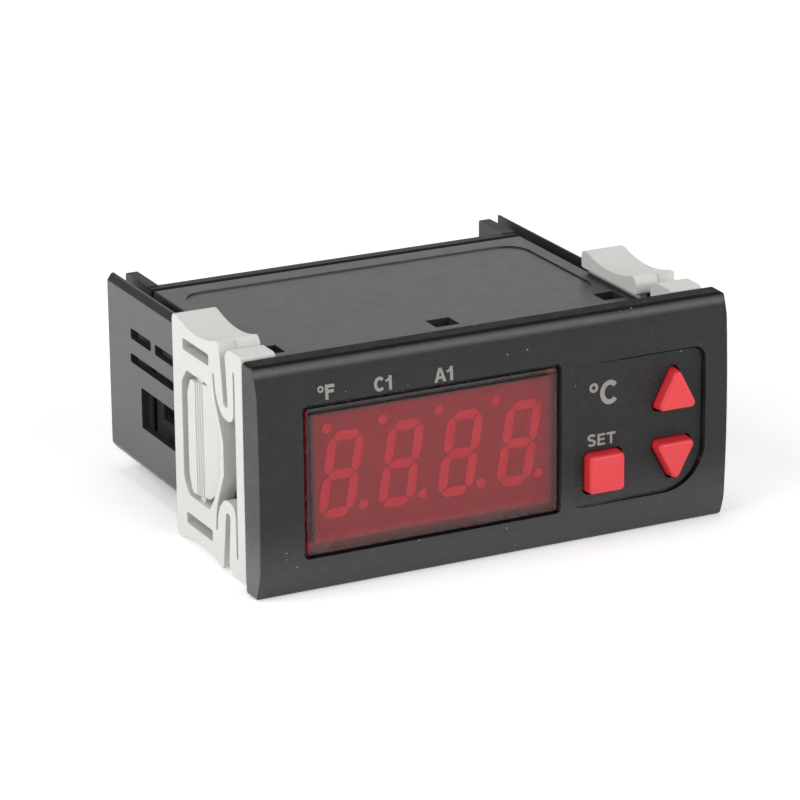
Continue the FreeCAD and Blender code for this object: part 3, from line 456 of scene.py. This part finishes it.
floor = sheet("studio_floor", 6.0, floor_z - 0.00005)
g = Graph("studio_white")
p = g.add("ShaderNodeBsdfPrincipled")
g.link(g.mix(g.remap(g.noise(9.0, 3.0), 0.3, 0.7, 0, 1), (0.90, 0.90, 0.90), (0.93, 0.93, 0.93)), p.inputs["Base Color"])
g.link(g.remap(g.noise(30.0), 0.3, 0.7, 0.85, 1.0), p.inputs["Roughness"])
p.inputs["Specular IOR Level"].default_value = 0.1
p.inputs["Emission Color"].default_value = (1.0, 1.0, 1.0, 1.0)
# brighter away from the object, so that the ground runs out to white
far = g.add("ShaderNodeVectorMath", operation="LENGTH")
g.link(g.coord, far.inputs[0])
g.link(g.remap(far.outputs["Value"], 0.12, 0.55, 0.25, 0.85, True), p.inputs["Emission Strength"])
g.link(p.outputs[0], g.out.inputs["Surface"])
floor.data.materials.append(g.mat)

scene = bpy.context.scene
world = bpy.data.worlds.new("studio")
scene.world = world
world.use_nodes = True
bg = world.node_tree.nodes["Background"]
bg.inputs["Strength"].default_value = 0.95
wt = world.node_tree
w_coord = wt.nodes.new("ShaderNodeTexCoord")
w_sep = wt.nodes.new("ShaderNodeSeparateXYZ")
w_map = wt.nodes.new("ShaderNodeMapRange")
w_map.interpolation_type = "SMOOTHSTEP"
for k, v in (("From Min", 0.34), ("From Max", 0.60), ("To Min", 1.0), ("To Max", 0.15)):
    w_map.inputs[k].default_value = v
wt.links.new(w_coord.outputs["Generated"], w_sep.inputs[0])
wt.links.new(w_sep.outputs[2], w_map.inputs["Value"])
# the sky is dim towards the rear left
w_parts = [w_map.outputs["Result"]]
for socket, a, b in ((0, -0.02, -0.30), (1, 0.20, 0.55)):
    m = wt.nodes.new("ShaderNodeMapRange")
    m.interpolation_type = "SMOOTHSTEP"
    m.inputs["From Min"].default_value, m.inputs["From Max"].default_value = a, b
    wt.links.new(w_sep.outputs[socket], m.inputs["Value"])
    w_parts.append(m.outputs["Result"])
w_dim = wt.nodes.new("ShaderNodeMath")
w_dim.operation = "MULTIPLY"
wt.links.new(w_parts[1], w_dim.inputs[0])
wt.links.new(w_parts[2], w_dim.inputs[1])
w_left = wt.nodes.new("ShaderNodeMath")
w_left.operation = "MULTIPLY_ADD"
wt.links.new(w_dim.outputs[0], w_left.inputs[0])
w_left.inputs[1].default_value, w_left.inputs[2].default_value = -0.85, 1.0
w_all = wt.nodes.new("ShaderNodeMath")
w_all.operation = "MULTIPLY"
wt.links.new(w_parts[0], w_all.inputs[0])
wt.links.new(w_left.outputs[0], w_all.inputs[1])
# and a little dimmer towards the front
w_front = wt.nodes.new("ShaderNodeMapRange")
w_front.interpolation_type = "SMOOTHSTEP"
for k, v in (("From Min", -0.60), ("From Max", -0.10), ("To Min", 0.50), ("To Max", 1.0)):
    w_front.inputs[k].default_value = v
wt.links.new(w_sep.outputs[1], w_front.inputs["Value"])
w_end = wt.nodes.new("ShaderNodeMath")
w_end.operation = "MULTIPLY"
wt.links.new(w_all.outputs[0], w_end.inputs[0])
wt.links.new(w_front.outputs["Result"], w_end.inputs[1])
wt.links.new(w_end.outputs[0], bg.inputs["Color"])


def softbox(name, place, aim, size, power, colour=(1, 1, 1)):
    d = bpy.data.lights.new(name, "AREA")
    d.shape = "RECTANGLE"
    d.size, d.size_y = size
    d.energy = power
    d.color = colour
    o = bpy.data.objects.new(name, d)
    scene.collection.objects.link(o)
    o.location = place
    o.rotation_euler = (Vector(aim) - Vector(place)).to_track_quat("-Z", "Y").to_euler()
    return o


softbox("key_left", (-0.60, -0.05, 0.42), (0, 0.02, 0), (0.85, 0.70), 4.3)
softbox("front", (0.40, -0.77, 0.42), (0, 0.0, 0), (0.95, 0.42), 5.5)
softbox("above", (-0.05, 0.06, 0.80), (0, 0.02, 0), (0.45, 0.45), 1.8)

# camera fitted to the photograph: 800 px square, focal length 3982.8 px
AZ, EL, ROLL = math.radians(-26.367), math.radians(18.709), math.radians(-0.541)
TX, TY, DIST, FOCAL = 12.393, -5.486, 579.96, 3982.8
back = Vector((math.sin(AZ) * math.cos(EL), -math.cos(AZ) * math.cos(EL), math.sin(EL)))
right0 = Vector((math.cos(AZ), math.sin(AZ), 0))
up0 = back.cross(right0)
right = math.cos(ROLL) * right0 + math.sin(ROLL) * up0
up = -math.sin(ROLL) * right0 + math.cos(ROLL) * up0
place = (right * -TX + up * -TY + back * DIST) * MM
rot = Matrix((right, up, back)).transposed().to_4x4()
cam_data = bpy.data.cameras.new("photo_camera")
cam_data.sensor_fit = "HORIZONTAL"
cam_data.sensor_width = 36.0
cam_data.lens = FOCAL / 800.0 * 36.0
cam_data.clip_start, cam_data.clip_end = 0.01, 50.0
cam = bpy.data.objects.new("photo_camera", cam_data)
scene.collection.objects.link(cam)
cam.matrix_world = Matrix.Translation(place) @ rot
scene.camera = cam
scene.view_settings.view_transform = "Standard"
scene.view_settings.look = "None"
scene.view_settings.exposure = 0.0
scene.view_settings.gamma = 1.0
